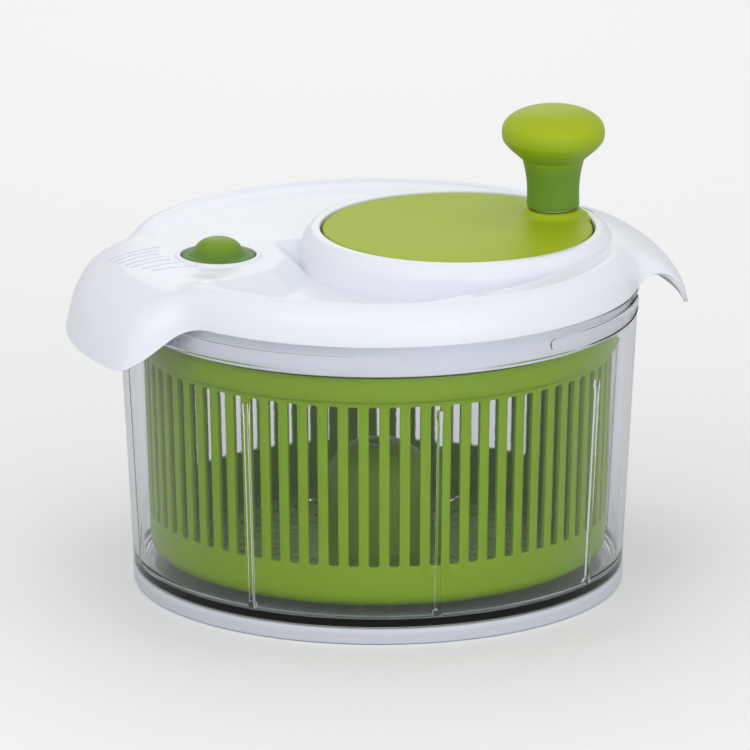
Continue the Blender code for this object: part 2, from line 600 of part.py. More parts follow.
def make_lid(material):
    lid = lid_volume("lid_shell", 0.0, LID_SEAT)
    hollow = lid_volume("lid_hollow", LID_WALL, SKIRT_BOTTOM - 5.0)
    well_wall = turned_object("well_inside", tube_profile(0.0, wellRadius + LID_WALL, WELL_FLOOR - LID_WALL,
                                                          BOSS_HEIGHT + 5.0), FINE, crankCentre)
    cut(hollow, well_wall, solver="MANIFOLD")
    cup = BUTTON_HOLE_RADIUS + LID_WALL
    cup_tool = turned_object("cup_inside", tube_profile(0.0, cup, CUP_FLOOR - LID_WALL, BOSS_HEIGHT),
                             MEDIUM, (BUTTON_X, 0.0))
    cut(hollow, cup_tool, solver="MANIFOLD")
    bm = bmesh.new()
    for places, top in ((DECK_SCREWS, DECK_HEIGHT), (MOAT_SCREWS, MOAT_FLOOR)):
        for spot in places:
            add_prism(bm, circle(SCREW_POST_RADIUS, TINY, spot), postBottom, top + 1.0)
    cut(hollow, place("screw_posts", bm), solver="MANIFOLD")
    cut(lid, hollow, solver="MANIFOLD")
    well = turned_object("well", tube_profile(0.0, wellRadius, WELL_FLOOR, BOSS_HEIGHT + 5.0), FINE,
                         crankCentre)
    cut(lid, well, solver="MANIFOLD")
    button_hole = turned_object("button_hole", tube_profile(0.0, BUTTON_HOLE_RADIUS, CUP_FLOOR,
                                                            BOSS_HEIGHT + 5.0), MEDIUM, (BUTTON_X, 0.0))
    cut(lid, button_hole, solver="MANIFOLD")
    bm = bmesh.new()
    hole_radius = SHAFT_RADIUS + RUN_GAP + BUSH_WALL + SEAT_GAP
    for spot, radius, height in (((0.0, 0.0), hole_radius, WELL_FLOOR),
                                 (crankCentre, hole_radius, WELL_FLOOR),
                                 ((BUTTON_X, 0.0), STEM_RADIUS + RUN_GAP, CUP_FLOOR)):
        add_prism(bm, circle(radius, SMALL, spot), height - LID_WALL - 2.0, height + 2.0)
    for spot in DECK_SCREWS + MOAT_SCREWS:
        add_prism(bm, circle(SCREW_RADIUS + SEAT_GAP, TINY, spot), postBottom - 1.0,
                  postBottom + SCREW_BITE + SEAT_GAP)
    cut(lid, place("lid_holes", bm), solver="MANIFOLD")
    skirt = [(skirtRadius - SKIRT_WALL, SKIRT_BOTTOM), (skirtRadius, SKIRT_BOTTOM),
             (skirtRadius, LID_SEAT + 4.0), (LID_RADIUS - LID_WALL + 0.6, LID_SEAT + 4.0),
             (LID_RADIUS - LID_WALL + 0.6, LID_SEAT + 6.5), (skirtRadius - SKIRT_WALL, LID_SEAT + 6.5)]
    cut(lid, turned_object("lid_skirt", skirt, FINE), "UNION", "MANIFOLD")
    return finish(lid, material)


def make_grip_lug(name, side, tip, half_width, material):
    """A grip lug, trimmed where it meets the lid's outer form so that it sits on it."""
    lug = lug_sheet(name, side, tip, half_width)
    cut(lug, lid_volume(name + "_trim", 0.0, SKIRT_BOTTOM), solver="MANIFOLD")
    return finish(lug, material)


def make_bush(name, centre, shaft, material):
    """Flanged bush for a shaft through the floor of the crank's well."""
    bore = shaft + RUN_GAP
    outer = SHAFT_RADIUS + RUN_GAP + BUSH_WALL
    outline = [(bore, bushLowerEnd), (outer, bushLowerEnd), (outer, WELL_FLOOR + SEAT_GAP),
               (FLANGE_RADIUS, WELL_FLOOR + SEAT_GAP), (FLANGE_RADIUS, flangeTop), (bore, flangeTop)]
    return finish(turned_object(name, outline, SMALL, centre), material)


def make_inner_cover(material):
    hole = DRIVER_HUB_RADIUS + COVER_HOLE_GAP
    outline = [(hole, COVER_BOTTOM), (coverRadius, COVER_BOTTOM), (coverRadius, coverTop + COVER_LIP),
               (coverRadius - COVER_PLATE, coverTop + COVER_LIP), (coverRadius - COVER_PLATE, coverTop),
               (hole, coverTop)]
    cover = turned_object("inner_cover", outline, MEDIUM)
    bm = bmesh.new()
    add_prism(bm, circle(PAD_HOLDER_RADIUS + PAD_HOLE_GAP, SMALL, (BUTTON_X, 0.0)),
              COVER_BOTTOM - 1.0, coverTop + 1.0)
    for spot in DECK_SCREWS + MOAT_SCREWS:
        add_prism(bm, circle(SCREW_RADIUS + RUN_GAP, TINY, spot), COVER_BOTTOM - 1.0, coverTop + 1.0)
    cut(cover, place("cover_holes", bm))
    return finish(cover, material)


def make_cover_screws(material):
    for index, spot in enumerate(DECK_SCREWS + MOAT_SCREWS):
        head_top = COVER_BOTTOM - SEAT_GAP
        steps = [(SCREW_HEAD_RADIUS, head_top - SCREW_HEAD, head_top),
                 (SCREW_RADIUS, head_top, postBottom + SCREW_BITE)]
        finish(turned_object(f"cover_screw_{index + 1}", stepped_profile(steps), TINY, spot), material)


# ================================================================ gears

def gear_outline(teeth, direction, phase):
    """Closed tooth outline in the XY plane. direction is +1 for outside teeth and -1 for inside ones."""
    pitch_radius = GEAR_MODULE * teeth / 2
    tip = pitch_radius + direction * TOOTH_ADDENDUM * GEAR_MODULE
    root = pitch_radius - direction * TOOTH_DEDENDUM * GEAR_MODULE
    thickness = pi * GEAR_MODULE / 2 - TOOTH_BACKLASH
    outline = []
    for index in range(teeth):
        middle = 2 * pi * index / teeth + phase
        for radius, width in ((root, thickness * TOOTH_ROOT_WIDTH), (tip, thickness * TOOTH_TIP_WIDTH),
                              (tip, -thickness * TOOTH_TIP_WIDTH), (root, -thickness * TOOTH_ROOT_WIDTH)):
            angle = middle - width / 2 / radius
            outline.append((radius * cos(angle), radius * sin(angle)))
    return outline


def make_ring_gear(material):
    bm = bmesh.new()
    teeth = [(x + CRANK_OFFSET, y) for x, y in gear_outline(RING_TEETH, -1, 0.0)]
    outside = circle(DISC_RADIUS - DISC_SKIRT - SEAT_GAP, len(teeth), crankCentre)
    rings = [[bm.verts.new((x, y, height)) for x, y in outline]
             for outline in (teeth, outside) for height in (gearBottom, gearTop)]
    inner_low, inner_high, outer_low, outer_high = rings
    count = len(teeth)
    # the tooth outline starts two points before the circle does
    outer_low = outer_low[-2:] + outer_low[:-2]
    outer_high = outer_high[-2:] + outer_high[:-2]
    for step in range(count):
        after = (step + 1) % count
        for a, b in ((inner_low, inner_high), (inner_high, outer_high),
                     (outer_high, outer_low), (outer_low, inner_low)):
            bm.faces.new((a[step], a[after], b[after], b[step]))
    return finish(place("ring_gear", bm, (CRANK_OFFSET, 0.0, 0.0)), material)


def make_pinion(material):
    bm = bmesh.new()
    add_prism(bm, gear_outline(PINION_TEETH, 1, pi / PINION_TEETH), pinionBottom, pinionTop)
    pinion = place("drive_pinion", bm)
    bore = turned_object("pinion_bore", tube_profile(0.0, SHAFT_RADIUS + SEAT_GAP, pinionBottom - 1.0,
                                                     pinionTop + 1.0), TINY)
    cut(pinion, bore)
    return finish(pinion, material)


# ================================================================ crank and knob

def make_crank_disc(material):
    step_bottom = gearTop + SEAT_GAP
    # the plate's thin middle reaches past both the ring gear's teeth and the spindle's lower head
    inner_step = max(GEAR_MODULE * (RING_TEETH / 2 + TOOTH_DEDENDUM) + 1.9,
                     KNOB_THROW + SPINDLE_HEAD + NOTCH_GAP)
    skirt = DISC_RADIUS - DISC_SKIRT
    bore = AXLE_RADIUS + SEAT_GAP
    outline = [(0.0, DISC_TOP), (0.0, plateUnderside - SEAT_GAP), (bore, plateUnderside - SEAT_GAP),
               (bore, pinionBottom), (AXLE_HUB_RADIUS, pinionBottom), (AXLE_HUB_RADIUS, plateUnderside),
               (inner_step, plateUnderside), (inner_step, step_bottom), (skirt, step_bottom),
               (skirt, pinionBottom), (DISC_RADIUS, pinionBottom), (DISC_RADIUS, DISC_TOP - 0.6),
               (DISC_RADIUS - 0.6, DISC_TOP)]
    disc = turned_object("crank_disc", outline, FINE, crankCentre)
    bm = bmesh.new()
    collar = [(COLLAR_RADIUS, DISC_TOP - 1.0), (COLLAR_RADIUS, collarTop - 1.0),
              (COLLAR_RADIUS - 0.8, collarTop), (0.0, collarTop), (0.0, DISC_TOP - 1.0)]
    add_turned(bm, collar, SMALL, (knobX, knobY))
    cut(disc, place("knob_collar", bm), "UNION")
    bm = bmesh.new()
    add_prism(bm, circle(SPINDLE_RADIUS + SEAT_GAP, TINY, (knobX, knobY)), plateUnderside - 1.0,
              collarTop + 1.0)
    cut(disc, place("spindle_hole", bm))
    return finish(disc, material)


def make_crank_axle(material):
    top = plateUnderside - 2 * SEAT_GAP
    bottom = bushLowerEnd - SEAT_GAP - CLIP_THICKNESS - 1.2
    steps = [(AXLE_RADIUS, bottom, top)]
    return finish(turned_object("crank_axle", stepped_profile(steps), TINY, crankCentre), material)


def make_clip(name, centre, shaft, top, material):
    """Retaining ring round a shaft, its upper face at a height."""
    outline = tube_profile(shaft + SEAT_GAP, CLIP_RADIUS, top - CLIP_THICKNESS, top)
    return finish(turned_object(name, outline, TINY, centre), material)


def knob_profile():
    """Outside of the knob: a soft-edged head on a waisted neck, from the top down."""
    head = [(0.0, KNOB_TOP)]
    dome = 12.0
    for step in range(1, 6):
        angle = radians(15.0 * step)
        head.append((KNOB_RADIUS * sin(angle) ** 1.05, KNOB_TOP - dome + dome * cos(angle) ** 0.9))
    head += [(KNOB_RADIUS, KNOB_TOP - dome), (KNOB_RADIUS - 0.4, KNOB_TOP - dome - 2.6)]
    fall = KNOB_TOP - dome - 2.6
    span = KNOB_RADIUS - 0.4 - KNOB_NECK_RADIUS
    waist = 27.0
    for step in range(1, 7):
        share = step / 6
        head.append((KNOB_NECK_RADIUS + span * (1 - share) ** 2.0, fall - waist * share ** 1.1))
    head.append((KNOB_NECK_RADIUS, knobBottom))
    return head


def make_knob(material):
    bore = knobBushRadius + SEAT_GAP
    bore_top = knobBottom + KNOB_BUSH_LENGTH + 4.0
    outline = knob_profile() + [(bore, knobBottom), (bore, bore_top), (0.0, bore_top)]
    return finish(turned_object("knob", outline, MEDIUM, (knobX, knobY)), material, 40.0)


def make_knob_fittings(steel, plastic):
    centre = (knobX, knobY)
    bush_bottom = knobBottom + SEAT_GAP
    bush_top = bush_bottom + KNOB_BUSH_LENGTH
    bush = tube_profile(SPINDLE_RADIUS + RUN_GAP, knobBushRadius, bush_bottom, bush_top)
    finish(turned_object("knob_bush", bush, TINY, centre), plastic)
    head = bush_top + SEAT_GAP
    foot = plateUnderside - SEAT_GAP
    steps = [(SPINDLE_HEAD, foot - 1.6, foot), (SPINDLE_RADIUS, foot, head), (SPINDLE_HEAD, head, head + 1.6)]
    finish(turned_object("knob_spindle", stepped_profile(steps), TINY, centre), steel)
    washer = tube_profile(SPINDLE_RADIUS + SEAT_GAP, KNOB_NECK_RADIUS - 2.0, collarTop + SEAT_GAP, washerTop)
    finish(turned_object("knob_washer", washer, SMALL, centre), plastic)


# ================================================================ drive to the basket

def make_drive_shaft(material):
    top = pinionTop + SEAT_GAP + CLIP_THICKNESS + 0.5
    bore = SCREW_RADIUS + SEAT_GAP
    bore_top = driverHubBottom + 8.0
    outline = [(0.0, bore_top), (bore, bore_top), (bore, driverHubBottom), (SHAFT_RADIUS, driverHubBottom),
               (SHAFT_RADIUS, top), (0.0, top)]
    return finish(turned_object("drive_shaft", outline, TINY), material)


def make_basket_driver(material):
    bore = SHAFT_RADIUS + SEAT_GAP
    plate_bottom = DRIVER_TOP - DRIVER_PLATE
    outline = [(bore, driverHubBottom), (DRIVER_HUB_RADIUS, driverHubBottom),
               (DRIVER_HUB_RADIUS, plate_bottom), (driverRadius - DRIVER_SKIRT, plate_bottom),
               (driverRadius - DRIVER_SKIRT, driverBottom),
               (driverRadius, driverBottom), (driverRadius, DRIVER_TOP), (DRIVER_HUB_RADIUS, DRIVER_TOP),
               (DRIVER_HUB_RADIUS, driverHubTop), (bore, driverHubTop)]
    driver = turned_object("basket_driver", outline, MEDIUM)
    bm = bmesh.new()
    for index in range(KEY_COUNT):
        add_box(bm, (driverRadius - 1.0, -KEY_WIDTH / 2, keyBottom),
                (keyTip, KEY_WIDTH / 2, keyBottom + KEY_HEIGHT), 360.0 * index / KEY_COUNT)
    cut(driver, place("driver_keys", bm), "UNION")
    bm = bmesh.new()
    for index in range(VENT_COUNT):
        angle = 2 * pi * (index + 0.5) / VENT_COUNT
        spot = (VENT_CIRCLE * cos(angle), VENT_CIRCLE * sin(angle))
        add_prism(bm, circle(VENT_RADIUS, TINY, spot), plate_bottom - 1.0, DRIVER_TOP + 1.0)
    cut(driver, place("driver_vents", bm))
    return finish(driver, material)


def make_drive_screw(material):
    head_top = driverHubBottom - SEAT_GAP
    steps = [(DRIVE_SCREW_HEAD, head_top - SCREW_HEAD, head_top), (SCREW_RADIUS, head_top, head_top + 7.5)]
    return finish(turned_object("drive_screw", stepped_profile(steps), TINY), material)


# ================================================================ stop button and brake

def make_stop_button(material):
    flange = BUTTON_HOLE_RADIUS - BUTTON_GAP
    inner = BUTTON_DOME_RADIUS - BUTTON_WALL
    rise = BUTTON_TOP - BUTTON_FLANGE_TOP - 2.4
    dome = []
    for step in range(6):
        angle = radians(90.0 * step / 6)
        dome.append((BUTTON_DOME_RADIUS * cos(angle), BUTTON_FLANGE_TOP + 2.4 + rise * sin(angle)))
    boss = STEM_RADIUS + SEAT_GAP + 1.7
    outline = [(0.0, BUTTON_TOP), (0.0, buttonCeiling - 1.0), (STEM_RADIUS + SEAT_GAP, buttonCeiling - 1.0),
               (STEM_RADIUS + SEAT_GAP, buttonFlangeBottom), (boss, buttonFlangeBottom),
               (boss, buttonCeiling),
               (inner, buttonCeiling - 2.5), (inner, buttonFlangeBottom), (flange, buttonFlangeBottom),
               (flange, BUTTON_FLANGE_TOP), (BUTTON_DOME_RADIUS, BUTTON_FLANGE_TOP)] + dome
    return finish(turned_object("stop_button", outline, MEDIUM, (BUTTON_X, 0.0)), material, 40.0)


def make_brake(stem_material, pad_material):
    centre = (BUTTON_X, 0.0)
    holder_top = holderBottom + PAD_HOLDER
    steps = [(PAD_HOLDER_RADIUS, holderBottom, holder_top), (STEM_RADIUS, holder_top,
                                                             collarOnStemTop - STEM_COLLAR),
             (STEM_COLLAR_RADIUS, collarOnStemTop - STEM_COLLAR, collarOnStemTop),
             (STEM_RADIUS, collarOnStemTop, buttonCeiling - 1.0 - SEAT_GAP)]
    finish(turned_object("brake_stem", stepped_profile(steps), SMALL, centre), stem_material)
    pad = stepped_profile([(PAD_RADIUS, padBottom, padBottom + PAD_THICKNESS)])
    finish(turned_object("brake_pad", pad, SMALL, centre), pad_material)


def make_spring(material):
    """Coil spring between the cup's floor and the button's ceiling, with flat end turns."""
    low = CUP_FLOOR + SEAT_GAP + SPRING_WIRE
    high = buttonCeiling - 2.5 - SEAT_GAP - SPRING_WIRE
    bm = bmesh.new()
    per_turn, sides = 12, 6
    steps = SPRING_TURNS * per_turn
    rings = []
    for step in range(steps + 1):
        share = step / steps
        angle = 2 * pi * SPRING_TURNS * share
        height = low + (high - low) * min(1.0, max(0.0, (share - 0.1) / 0.8))
        ring = []
        for side in range(sides):
            turn = 2 * pi * side / sides
            radius = SPRING_RADIUS + SPRING_WIRE * cos(turn)
            ring.append(bm.verts.new((BUTTON_X + radius * cos(angle), radius * sin(angle),
                                      height + SPRING_WIRE * sin(turn))))
        rings.append(ring)
    for here, after in zip(rings, rings[1:]):
        for side in range(sides):
            nxt = (side + 1) % sides
            bm.faces.new((here[side], here[nxt], after[nxt], after[side]))
    bm.faces.new(rings[0][::-1])
    bm.faces.new(rings[-1])
    return finish(place("button_spring", bm, (BUTTON_X, 0.0, 0.0)), material)


# ================================================================ assembly

def main():
    clear_scene()
    clear_plastic = make_material("clear_plastic", (0.86, 0.90, 0.93), 0.06, alpha=0.35)
    soft_ring = make_material("ring_plastic", (0.76, 0.80, 0.84), 0.35)
    green = make_material("green_plastic", (0.30, 0.42, 0.03), 0.38)
    bright_green = make_material("bright_green_plastic", (0.42, 0.50, 0.05), 0.42)
    white = make_material("white_plastic", (0.80, 0.83, 0.86), 0.30)
    inner_white = make_material("inner_plastic", (0.62, 0.65, 0.67), 0.45)
    gear_plastic = make_material("gear_plastic", (0.80, 0.78, 0.70), 0.40)
    steel = make_material("steel", (0.60, 0.60, 0.60), 0.28, metallic=1.0)
    rubber = make_material("rubber", (0.06, 0.06, 0.06), 0.80)

    make_bowl(clear_plastic)
    make_base_ring(soft_ring)
    make_pivot_pin(steel)
    make_basket_wall(green)
    make_basket_bend(green)
    make_basket_floor(green)
    make_basket_bush(gear_plastic)
    make_lid(white)
    make_grip_lug("left_grip_lug", -1.0, LEFT_LUG_TIP, LEFT_LUG_HALF_WIDTH, white)
    make_grip_lug("right_grip_lug", 1.0, RIGHT_LUG_TIP, RIGHT_LUG_HALF_WIDTH, white)
    make_bush("shaft_bush", (0.0, 0.0), SHAFT_RADIUS, gear_plastic)
    make_bush("crank_bush", crankCentre, AXLE_RADIUS, gear_plastic)
    make_inner_cover(inner_white)
    make_cover_screws(steel)
    make_crank_disc(bright_green)
    make_ring_gear(gear_plastic)
    make_crank_axle(steel)
    make_clip("crank_clip", crankCentre, AXLE_RADIUS, bushLowerEnd - SEAT_GAP, steel)
    make_knob(bright_green)
    make_knob_fittings(steel, gear_plastic)
    make_pinion(gear_plastic)
    make_drive_shaft(steel)
    make_clip("shaft_clip", (0.0, 0.0), SHAFT_RADIUS, pinionTop + SEAT_GAP + CLIP_THICKNESS, steel)
    make_basket_driver(inner_white)
    make_drive_screw(steel)
    make_stop_button(bright_green)
    make_brake(gear_plastic, rubber)
    make_spring(steel)


main()
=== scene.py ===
from math import cos, hypot, pi, radians, sin, sqrt

import bmesh
import bpy
import numpy as np
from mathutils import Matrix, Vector


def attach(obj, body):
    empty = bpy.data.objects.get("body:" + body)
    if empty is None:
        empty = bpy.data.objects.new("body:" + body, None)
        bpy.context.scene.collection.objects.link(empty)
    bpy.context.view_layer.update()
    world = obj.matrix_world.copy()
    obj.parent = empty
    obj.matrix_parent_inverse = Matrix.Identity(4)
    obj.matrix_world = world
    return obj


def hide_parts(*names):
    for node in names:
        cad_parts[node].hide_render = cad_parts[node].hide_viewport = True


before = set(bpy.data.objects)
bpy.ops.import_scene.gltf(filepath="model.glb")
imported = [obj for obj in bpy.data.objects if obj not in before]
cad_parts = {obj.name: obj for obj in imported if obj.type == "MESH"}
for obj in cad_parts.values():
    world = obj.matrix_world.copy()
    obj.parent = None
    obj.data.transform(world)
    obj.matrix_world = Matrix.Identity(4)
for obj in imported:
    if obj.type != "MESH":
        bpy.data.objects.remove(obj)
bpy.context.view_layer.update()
mm = 0.001
crankX = 37.5  # crank axis, to the right of the bowl's own axis
knobSpot = (crankX + 49.0 * cos(radians(12.0)), 49.0 * sin(radians(12.0)))
print("frame loaded")


# small tools

def srgb(red, green, blue):
    # a colour as read on screen, 0 to 255, in the linear values that shaders take
    out = []
    for value in (red, green, blue):
        part = value / 255.0
        out.append(part / 12.92 if part <= 0.04045 else ((part + 0.055) / 1.055) ** 2.4)
    return (*out, 1.0)


def smooth(value):
    value = np.clip(value, 0.0, 1.0)
    return value * value * (3.0 - 2.0 * value)


def meshObject(name, verts, faces, material=None, sharpAt=40.0):
    # verts are in millimetres
    mesh = bpy.data.meshes.new(name)
    mesh.from_pydata([(x * mm, y * mm, z * mm) for x, y, z in verts], [], faces)
    piece = bpy.data.objects.new(name, mesh)
    bpy.context.collection.objects.link(piece)
    bm = bmesh.new()
    bm.from_mesh(mesh)
    bmesh.ops.recalc_face_normals(bm, faces=bm.faces)
    bm.to_mesh(mesh)
    bm.free()
    if material:
        mesh.materials.append(material)
    smoothShade(piece, sharpAt)
    return piece


def smoothShade(piece, sharpAt=40.0):
    mesh = piece.data
    mesh.polygons.foreach_set("use_smooth", [True] * len(mesh.polygons))
    mesh.set_sharp_from_angle(angle=radians(sharpAt))


def rounded(points, steps=5):
    # each point is (radius, height) or (radius, height, corner radius)
    out = []
    count = len(points)
    for index, point in enumerate(points):
        corner = point[2] if len(point) > 2 else 0.0
        here = Vector(point[:2])
        if not corner or index in (0, count - 1) and points[index][0] == 0.0:
            out.append(tuple(here))
            continue
        before = Vector(points[index - 1][:2]) - here
        after = Vector(points[(index + 1) % count][:2]) - here
        reach = min(corner, before.length * 0.49, after.length * 0.49)
        start, end = here + before.normalized() * reach, here + after.normalized() * reach
        for step in range(steps + 1):
            t = step / steps
            out.append(tuple(start * (1 - t) ** 2 + here * 2 * t * (1 - t) + end * t * t))
    return out


def revolve(name, profile, segments=192, centre=(0.0, 0.0), material=None, sharpAt=40.0):
    # a profile that starts and ends on the axis makes a solid; any other makes a closed ring
    verts, faces, rings = [], [], []
    for radius, height in profile:
        if radius < 1e-6:
            rings.append([len(verts)] * segments)
            verts.append((centre[0], centre[1], height))
        else:
            rings.append(list(range(len(verts), len(verts) + segments)))
            verts += [(centre[0] + radius * cos(2 * pi * s / segments),
                       centre[1] + radius * sin(2 * pi * s / segments), height) for s in range(segments)]
    onAxis = profile[0][0] < 1e-6
    pairs = list(zip(rings, rings[1:])) + ([] if onAxis else [(rings[-1], rings[0])])
    for low, high in pairs:
        for s in range(segments):
            t = (s + 1) % segments
            loop = []
            for corner in (low[s], low[t], high[t], high[s]):
                if corner not in loop:
                    loop.append(corner)
            if len(loop) > 2:
                faces.append(loop)
    return meshObject(name, verts, faces, material, sharpAt)


def combine(piece, tool, operation="DIFFERENCE"):
    step = piece.modifiers.new("combine", "BOOLEAN")
    step.operation, step.object, step.solver = operation, tool, "MANIFOLD"
    bakeModifiers(piece)
    bpy.data.objects.remove(tool)


def bakeModifiers(piece):
    bpy.context.view_layer.update()
    shape = bpy.data.meshes.new_from_object(piece.evaluated_get(bpy.context.evaluated_depsgraph_get()))
    piece.modifiers.clear()
    piece.data = shape


def seat(piece, body, slotName, *nodes):
    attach(piece, body)
    if nodes:
        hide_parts(*nodes)
    return piece


# materials

def newGroup(name, inputs, outputs):
    group = bpy.data.node_groups.new(name, "ShaderNodeTree")
    for label, kind, value in inputs:
        socket = group.interface.new_socket(label, in_out="INPUT", socket_type=kind)
        socket.default_value = value
    for label, kind in outputs:
        group.interface.new_socket(label, in_out="OUTPUT", socket_type=kind)
    return group, group.nodes.new("NodeGroupInput"), group.nodes.new("NodeGroupOutput")


def mouldedSurface():
    # slow flow marks in the colour and a fine grain from the mould
    group, given, result = newGroup(
        "mouldedSurface",
        [("Colour", "NodeSocketColor", (0.5, 0.5, 0.5, 1.0)), ("Mottle", "NodeSocketFloat", 0.04),
         ("Grain Size", "NodeSocketFloat", 900.0), ("Rough Low", "NodeSocketFloat", 0.3),
         ("Rough High", "NodeSocketFloat", 0.4)],
        [("Colour", "NodeSocketColor"), ("Roughness", "NodeSocketFloat"), ("Height", "NodeSocketFloat")])
    nodes, links = group.nodes, group.links
    place = nodes.new("ShaderNodeTexCoord")
    flow = nodes.new("ShaderNodeTexNoise")
    flow.inputs["Scale"].default_value = 26.0
    flow.inputs["Detail"].default_value = 3.0
    grain = nodes.new("ShaderNodeTexNoise")
    grain.inputs["Detail"].default_value = 2.0
    links.new(place.outputs["Object"], flow.inputs["Vector"])
    links.new(place.outputs["Object"], grain.inputs["Vector"])
    links.new(given.outputs["Grain Size"], grain.inputs["Scale"])
    dark = nodes.new("ShaderNodeHueSaturation")
    dark.inputs["Value"].default_value = 0.72
    links.new(given.outputs["Colour"], dark.inputs["Color"])
    amount = nodes.new("ShaderNodeMath")
    amount.operation = "MULTIPLY"
    links.new(flow.outputs["Fac"], amount.inputs[0])
    links.new(given.outputs["Mottle"], amount.inputs[1])
    mix = nodes.new("ShaderNodeMix")
    mix.data_type = "RGBA"
    links.new(amount.outputs[0], mix.inputs["Factor"])
    links.new(given.outputs["Colour"], mix.inputs["A"])
    links.new(dark.outputs["Color"], mix.inputs["B"])
    spread = nodes.new("ShaderNodeMapRange")
    links.new(flow.outputs["Fac"], spread.inputs["Value"])
    links.new(given.outputs["Rough Low"], spread.inputs["To Min"])
    links.new(given.outputs["Rough High"], spread.inputs["To Max"])
    links.new(mix.outputs["Result"], result.inputs["Colour"])
    links.new(spread.outputs["Result"], result.inputs["Roughness"])
    links.new(grain.outputs["Fac"], result.inputs["Height"])
    return group


moulded = mouldedSurface()


def finishMaterial(name, colour, rough, mottle=0.25, grain=900.0, bump=0.04, metallic=0.0, coat=0.0,
                   subsurface=0.0, gloss=0.5, paintedShadeBelow=None):
    # a second, darker colour painted on the lower part as painted shade, standing in for the shade under the
    # top light: (colour, height where it ends, height where this one starts)
    material = bpy.data.materials.new(name)
    material.use_nodes = True
    nodes, links = material.node_tree.nodes, material.node_tree.links
    shader = nodes["Principled BSDF"]
    surface = nodes.new("ShaderNodeGroup")
    surface.node_tree = moulded
    surface.inputs["Colour"].default_value = colour
    surface.inputs["Mottle"].default_value = mottle
    surface.inputs["Grain Size"].default_value = grain
    surface.inputs["Rough Low"].default_value = rough[0]
    surface.inputs["Rough High"].default_value = rough[1]
    if paintedShadeBelow:
        place, parts = nodes.new("ShaderNodeTexCoord"), nodes.new("ShaderNodeSeparateXYZ")
        level, blend = nodes.new("ShaderNodeMapRange"), nodes.new("ShaderNodeMix")
        blend.data_type = "RGBA"
        blend.inputs["A"].default_value, blend.inputs["B"].default_value = paintedShadeBelow[0], colour
        level.inputs["From Min"].default_value, level.inputs["From Max"].default_value = paintedShadeBelow[1], paintedShadeBelow[2]
        links.new(place.outputs["Object"], parts.inputs["Vector"])
        links.new(parts.outputs["Z"], level.inputs["Value"])
        links.new(level.outputs["Result"], blend.inputs["Factor"])
        links.new(blend.outputs["Result"], surface.inputs["Colour"])
    relief = nodes.new("ShaderNodeBump")
    relief.inputs["Strength"].default_value = bump
    relief.inputs["Distance"].default_value = 0.0004
    links.new(surface.outputs["Height"], relief.inputs["Height"])
    links.new(surface.outputs["Colour"], shader.inputs["Base Color"])
    links.new(surface.outputs["Roughness"], shader.inputs["Roughness"])
    links.new(relief.outputs["Normal"], shader.inputs["Normal"])
    shader.inputs["Metallic"].default_value = metallic
    shader.inputs["Specular IOR Level"].default_value = gloss
    shader.inputs["Coat Weight"].default_value = coat
    shader.inputs["Coat Roughness"].default_value = 0.12
    if subsurface:
        shader.inputs["Subsurface Weight"].default_value = subsurface
        shader.inputs["Subsurface Scale"].default_value = 0.004
    return material


def clearMaterial(name, colour, rough, ior):
    material = finishMaterial(name, colour, rough, mottle=0.03, bump=0.01)
    shader = material.node_tree.nodes["Principled BSDF"]
    shader.inputs["Transmission Weight"].default_value = 1.0
    shader.inputs["IOR"].default_value = ior
    # most of the lamps' light passes straight through, so what lies behind isn't left in the dark
    nodes, links = material.node_tree.nodes, material.node_tree.links
    path, solid = nodes.new("ShaderNodeLightPath"), nodes.new("ShaderNodeMapRange")
    solid.inputs["To Min"].default_value, solid.inputs["To Max"].default_value = 1.0, 0.35
    links.new(path.outputs["Is Shadow Ray"], solid.inputs["Value"])
    links.new(solid.outputs["Result"], shader.inputs["Alpha"])
    return material


finishes = {
    "white_plastic": finishMaterial("whitePlastic", srgb(239, 242, 250), (0.24, 0.34), 0.05, bump=0.015,
                                    coat=0.08, subsurface=0.08, gloss=0.35),
    "green_plastic": finishMaterial("leafGreen", srgb(138, 176, 8), (0.34, 0.44), 0.25, bump=0.03,
                                    gloss=0.25),
    "bright_green_plastic": finishMaterial("brightGreen", srgb(168, 188, 26), (0.42, 0.52), 0.22,
                                           grain=1600.0, bump=0.10, gloss=0.2),
    # the knob and the button take painted shade: their lower parts are painted a darker green where the top
    # light leaves them in shade
    "knob_green": finishMaterial("knobGreen", srgb(170, 190, 30), (0.40, 0.50), 0.22, grain=1600.0, bump=0.08,
                                 gloss=0.2, paintedShadeBelow=(srgb(108, 148, 50), 0.184, 0.206)),
    "button_green": finishMaterial("buttonGreen", srgb(138, 166, 34), (0.36, 0.46), 0.22, grain=1600.0,
                                   bump=0.08, gloss=0.25, paintedShadeBelow=(srgb(88, 130, 44), 0.157, 0.167)),
    "ring_plastic": finishMaterial("milkyRing", srgb(210, 214, 222), (0.35, 0.45), 0.12, subsurface=0.2),
    "inner_plastic": finishMaterial("innerWhite", srgb(206, 210, 214), (0.42, 0.52), 0.15),
    "gear_plastic": finishMaterial("naturalAcetal", srgb(226, 222, 206), (0.36, 0.46), 0.2),
    "steel": finishMaterial("brushedSteel", srgb(188, 189, 190), (0.22, 0.38), 0.3, grain=2400.0,
                            metallic=1.0),
    "rubber": finishMaterial("blackRubber", srgb(42, 42, 42), (0.72, 0.86), 0.3, bump=0.15),
    "clear_plastic": clearMaterial("clearPlastic", (0.962, 0.974, 0.992, 1.0), (0.012, 0.03), 1.36),
}
print("materials made")

# every CAD node first takes the finish of its own slot
finished = 0
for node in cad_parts.values():
    for socket in node.material_slots:
        base = socket.material.name.split(".")[0] if socket.material else ""
        if base in finishes:
            socket.material = finishes[base]
            finished += 1
print("finish given to", finished, "CAD nodes")

# lid: one flowing sheet with its lugs, the housing round the crank, and the button's cup

